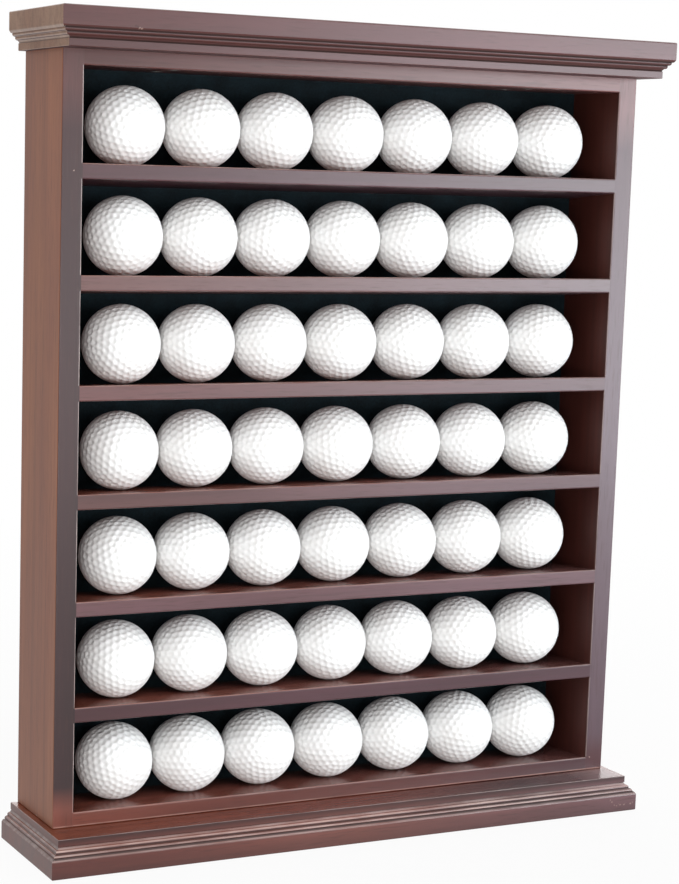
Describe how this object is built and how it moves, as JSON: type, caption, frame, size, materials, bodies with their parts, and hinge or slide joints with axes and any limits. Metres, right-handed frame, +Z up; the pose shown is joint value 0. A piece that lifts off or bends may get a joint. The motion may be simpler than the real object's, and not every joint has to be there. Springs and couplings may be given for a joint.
{
  "type": "golf ball display case",
  "caption": "Open-fronted wooden display case with sloping shelves full of golf balls, between a top and a base board with a mitred reeded moulding.",
  "frame": {"origin": "on the surface it stands on, under the middle of the overall box", "axes": "+X to the viewer's right, +Y from the open front to the back, +Z up"},
  "size_m": [0.3694, 0.0806, 0.4494],
  "materials": {
    "stained_wood": "dark red-brown stain under satin lacquer",
    "felt": "black felt",
    "back_board": "plain hardboard",
    "steel": "zinc plated",
    "ball_cover": "glossy white cover"
  },
  "bodies": {
    "case": {"top_board": "stained_wood", "base_board": "stained_wood", "left_side": "stained_wood", "right_side": "stained_wood", "top_panel": "stained_wood", "bottom_shelf": "stained_wood", "shelf_1": "stained_wood", "shelf_2": "stained_wood", "shelf_3": "stained_wood", "shelf_4": "stained_wood", "shelf_5": "stained_wood", "shelf_6": "stained_wood", "felt_lining": "felt", "back_panel": "back_board", "back_pins": "steel", "top_screws": "steel", "base_screws": "steel"},
    "row_1": {"balls_row_1": "ball_cover"},
    "row_2": {"balls_row_2": "ball_cover"},
    "row_3": {"balls_row_3": "ball_cover"},
    "row_4": {"balls_row_4": "ball_cover"},
    "row_5": {"balls_row_5": "ball_cover"},
    "row_6": {"balls_row_6": "ball_cover"},
    "row_7": {"balls_row_7": "ball_cover"}
  },
  "joints": [
    {"name": "row_1_pull", "type": "slide", "parent": "case", "child": "row_1", "axis": [0, -0.9962, 0.0872], "range_m": [0, 0.08]},
    {"name": "row_2_pull", "type": "slide", "parent": "case", "child": "row_2", "axis": [0, -0.9962, 0.0872], "range_m": [0, 0.08]},
    {"name": "row_3_pull", "type": "slide", "parent": "case", "child": "row_3", "axis": [0, -0.9962, 0.0872], "range_m": [0, 0.08]},
    {"name": "row_4_pull", "type": "slide", "parent": "case", "child": "row_4", "axis": [0, -0.9962, 0.0872], "range_m": [0, 0.08]},
    {"name": "row_5_pull", "type": "slide", "parent": "case", "child": "row_5", "axis": [0, -0.9962, 0.0872], "range_m": [0, 0.08]},
    {"name": "row_6_pull", "type": "slide", "parent": "case", "child": "row_6", "axis": [0, -0.9962, 0.0872], "range_m": [0, 0.08]},
    {"name": "row_7_pull", "type": "slide", "parent": "case", "child": "row_7", "axis": [0, -0.9962, 0.0872], "range_m": [0, 0.08]}
  ]
}
